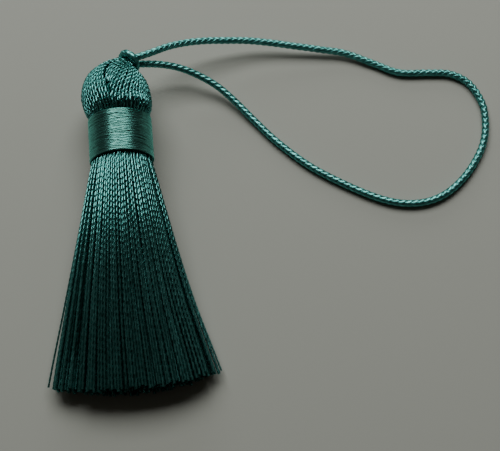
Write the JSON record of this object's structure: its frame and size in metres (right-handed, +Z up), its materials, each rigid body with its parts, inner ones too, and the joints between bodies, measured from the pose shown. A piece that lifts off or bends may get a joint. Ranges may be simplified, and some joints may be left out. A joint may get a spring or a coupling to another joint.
{
  "type": "tassel",
  "caption": "Silky teal tassel lying on its side: folded yarn head, wound floss binding, fanned skirt of cut strands and a hanging loop of braided cord.",
  "frame": {"origin": "on the floor, under the middle of the tassel without its loop", "axes": "+Y from the cut ends of the skirt to the head, +Z up, +X towards the side where the loop lies"},
  "size_m": [0.0936, 0.0747, 0.014],
  "materials": {
    "yarn": "silky plied yarn",
    "binding": "glossy wound floss",
    "cord": "braided cord with a soft sheen"
  },
  "bodies": {
    "root": {"yarn": "yarn", "binding": "binding", "cord_hitch": "cord", "hanging_loop": "cord"}
  },
  "joints": []
}
